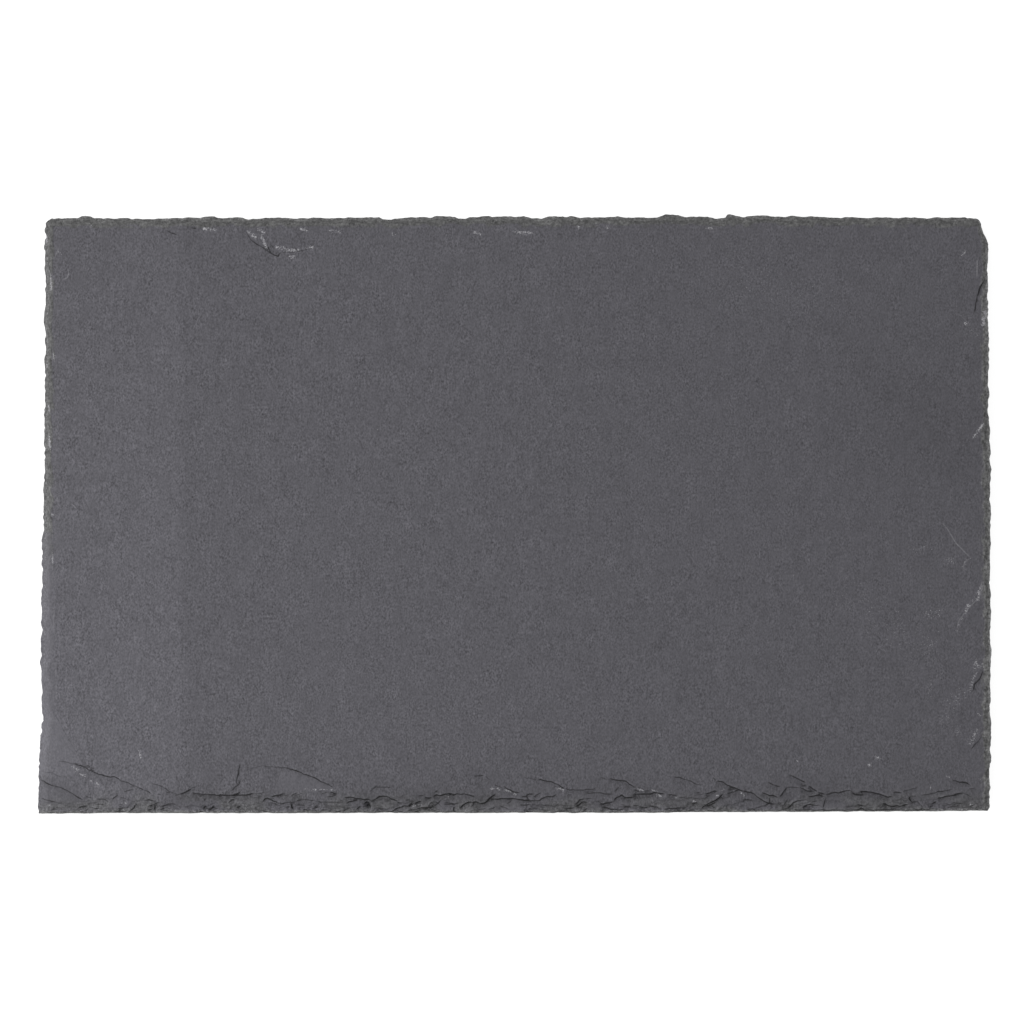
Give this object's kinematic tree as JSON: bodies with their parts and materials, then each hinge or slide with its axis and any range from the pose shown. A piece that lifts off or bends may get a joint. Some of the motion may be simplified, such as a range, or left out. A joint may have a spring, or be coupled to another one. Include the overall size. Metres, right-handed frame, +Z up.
{
  "type": "slate serving board",
  "caption": "Flat rectangular riven slate serving board with flaked hand-dressed edges, standing on small stick-on rubber feet; used to serve food on or as a place mat.",
  "frame": {"origin": "middle of the board's footprint, on the surface that its feet stand on", "axes": "+X along the long side, +Y from the flaked front edge towards the back edge, +Z up out of the serving face"},
  "size_m": [0.4, 0.25, 0.0077],
  "materials": {
    "slate": "matte",
    "foot_rubber": "matte",
    "adhesive": "satin"
  },
  "bodies": {
    "root": {"slate_board": "slate", "foot_front_left": "foot_rubber", "foot_front_right": "foot_rubber", "foot_back_right": "foot_rubber", "foot_back_left": "foot_rubber", "adhesive_front_left": "adhesive", "adhesive_front_right": "adhesive", "adhesive_back_right": "adhesive", "adhesive_back_left": "adhesive"}
  },
  "joints": []
}
